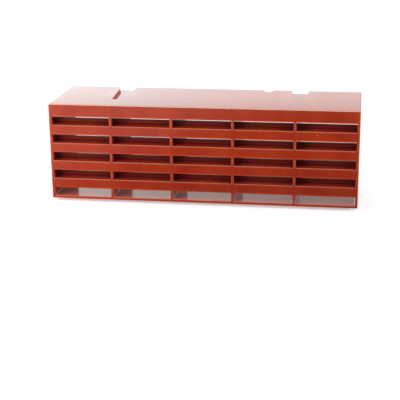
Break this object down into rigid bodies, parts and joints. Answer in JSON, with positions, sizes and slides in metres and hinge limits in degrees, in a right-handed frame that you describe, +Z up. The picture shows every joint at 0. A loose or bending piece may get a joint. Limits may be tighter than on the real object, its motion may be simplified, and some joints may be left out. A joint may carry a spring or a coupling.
{
  "type": "plastic air brick",
  "caption": "Terracotta plastic air brick: an open-backed box with a louvred front grid, dovetail sockets in its top and dovetail lugs under its base.",
  "frame": {"origin": "centre of the footprint, level with the feet of the lugs", "axes": "+X along the brick's length, front grid towards -Y, +Z up"},
  "size_m": [0.215, 0.064, 0.07],
  "materials": {
    "terracotta_plastic": "glossy moulded terracotta plastic"
  },
  "bodies": {
    "root": {"air_brick": "terracotta_plastic"}
  },
  "joints": []
}
